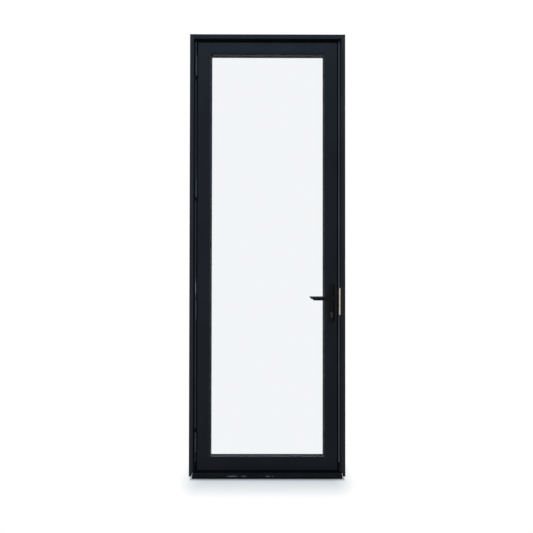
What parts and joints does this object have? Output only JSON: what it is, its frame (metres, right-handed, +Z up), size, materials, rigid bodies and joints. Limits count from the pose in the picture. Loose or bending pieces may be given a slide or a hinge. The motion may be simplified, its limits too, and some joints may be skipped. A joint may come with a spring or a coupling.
{
  "type": "glass door",
  "caption": "Tall single glazed door in a black aluminium frame with sill, hinged on the left, with a lever handle set and a lever-worked multi-point lock.",
  "frame": {"origin": "on the floor under the sill, in the middle of the frame's width, in the plane of the frame's front face", "axes": "+X to the right and +Y away from a viewer at the front, +Z up; the leaf opens towards -Y"},
  "size_m": [0.89, 0.165, 2.525],
  "materials": {
    "black_coat": "satin black powder coat",
    "hinge_black": "satin black",
    "handle_black": "satin black",
    "steel": "zinc plated",
    "black_rubber": "matt",
    "grey_seal": "matt grey",
    "glass": "clear",
    "nickel": "satin nickel",
    "tan_strike": "dull tan passivated",
    "pale_plastic": "matt pale grey",
    "plain_aluminium": "mill",
    "black_plastic": "matt"
  },
  "bodies": {
    "frame": {"hinge_jamb": "black_coat", "strike_jamb": "black_coat", "head": "black_coat", "sill": "black_coat", "sill_end_caps": "pale_plastic", "frame_corner_screws": "steel", "jamb_stop_seals": "black_rubber", "head_stop_seal": "black_rubber", "sill_stop_seal": "black_rubber", "hinge_jamb_gap_seal": "grey_seal", "strike_jamb_gap_seal": "grey_seal", "head_gap_seal": "black_rubber", "strike_plate": "tan_strike", "shoot_bolt_keepers": "steel", "keeper_screws": "steel", "hinge_1_frame_plate": "hinge_black", "hinge_2_frame_plate": "hinge_black", "hinge_3_frame_plate": "hinge_black", "hinge_4_frame_plate": "hinge_black", "hinge_pins": "hinge_black", "hinge_frame_screws": "steel"},
    "leaf": {"hinge_stile": "black_coat", "lock_stile": "black_coat", "top_rail": "black_coat", "bottom_rail": "black_coat", "top_bead": "black_coat", "bottom_bead": "black_coat", "hinge_side_bead": "black_coat", "lock_side_bead": "black_coat", "hinge_1_leaf_plate": "hinge_black", "hinge_2_leaf_plate": "hinge_black", "hinge_3_leaf_plate": "hinge_black", "hinge_4_leaf_plate": "hinge_black", "front_escutcheon": "handle_black", "back_escutcheon": "handle_black", "hinge_leaf_screws": "steel", "lock_faceplate": "steel", "lock_case": "steel", "lock_case_cover": "steel", "escutcheon_screws": "steel", "lock_edge_screws": "steel", "front_gasket": "black_rubber", "back_gasket": "black_rubber", "edge_seal": "black_rubber", "bottom_sweep": "black_rubber", "front_pane": "glass", "back_pane": "glass", "cylinder_body": "nickel", "corner_blocks": "plain_aluminium", "spacer_bar": "plain_aluminium", "stile_end_plugs": "black_plastic", "setting_blocks": "black_plastic"},
    "handle": {"front_lever": "handle_black", "back_lever": "handle_black", "spindle": "steel", "follower": "steel"},
    "centre_bolt": {"centre_bolt": "steel"},
    "upper_rod": {"upper_rod": "steel"},
    "lower_rod": {"lower_rod": "steel"},
    "cylinder_core": {"cylinder_core": "nickel"}
  },
  "joints": [
    {"name": "leaf_swing", "type": "hinge", "parent": "frame", "child": "leaf", "pos_m": [-0.4095, 0.01595, 1.2625], "axis": [0, 0, -1], "range_deg": [0, 110]},
    {"name": "lever_lift", "type": "hinge", "parent": "leaf", "child": "handle", "pos_m": [0.368, 0.0445, 1.01], "axis": [0, 1, 0], "range_deg": [0, 45]},
    {"name": "centre_bolt_throw", "type": "slide", "parent": "leaf", "child": "centre_bolt", "axis": [1, 0, 0], "range_m": [0, 0.01414]},
    {"name": "upper_rod_throw", "type": "slide", "parent": "leaf", "child": "upper_rod", "axis": [0, 0, 1], "range_m": [0, 0.01414]},
    {"name": "lower_rod_throw", "type": "slide", "parent": "leaf", "child": "lower_rod", "axis": [0, 0, -1], "range_m": [0, 0.01414]},
    {"name": "cylinder_turn", "type": "hinge", "parent": "leaf", "child": "cylinder_core", "pos_m": [0.368, 0.0445, 0.925], "axis": [0, 1, 0], "continuous": true}
  ],
  "couplings": [
    {"joint": "centre_bolt_throw", "follows": "lever_lift", "m_per_rad": 0.018},
    {"joint": "upper_rod_throw", "follows": "lever_lift", "m_per_rad": 0.018},
    {"joint": "lower_rod_throw", "follows": "lever_lift", "m_per_rad": 0.018}
  ]
}
